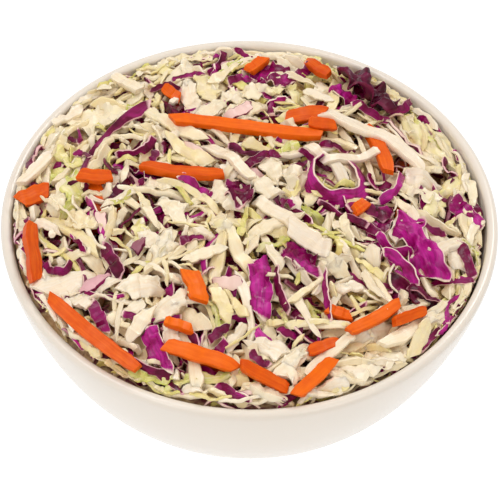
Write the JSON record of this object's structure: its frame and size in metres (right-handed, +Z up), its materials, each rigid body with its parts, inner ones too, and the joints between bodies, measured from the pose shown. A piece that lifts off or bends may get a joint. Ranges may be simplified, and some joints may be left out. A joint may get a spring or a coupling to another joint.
{
  "type": "bowl of coleslaw",
  "caption": "Round white china bowl on a foot ring, heaped above its rim with shredded white cabbage, red cabbage and carrot sticks.",
  "frame": {"origin": "middle of the foot ring's flat underside, which stands on the table", "axes": "+Z up along the bowl's axis, +X to the right and -Y towards the viewer, as the bowl is seen in the picture"},
  "size_m": [0.18, 0.18, 0.0856],
  "materials": {
    "china": "soft gloss glaze, warm white",
    "slaw": "moist cut vegetables: cream and yellow-green cabbage, purple cabbage, orange carrot"
  },
  "bodies": {
    "root": {"bowl": "china", "coleslaw": "slaw"}
  },
  "joints": []
}
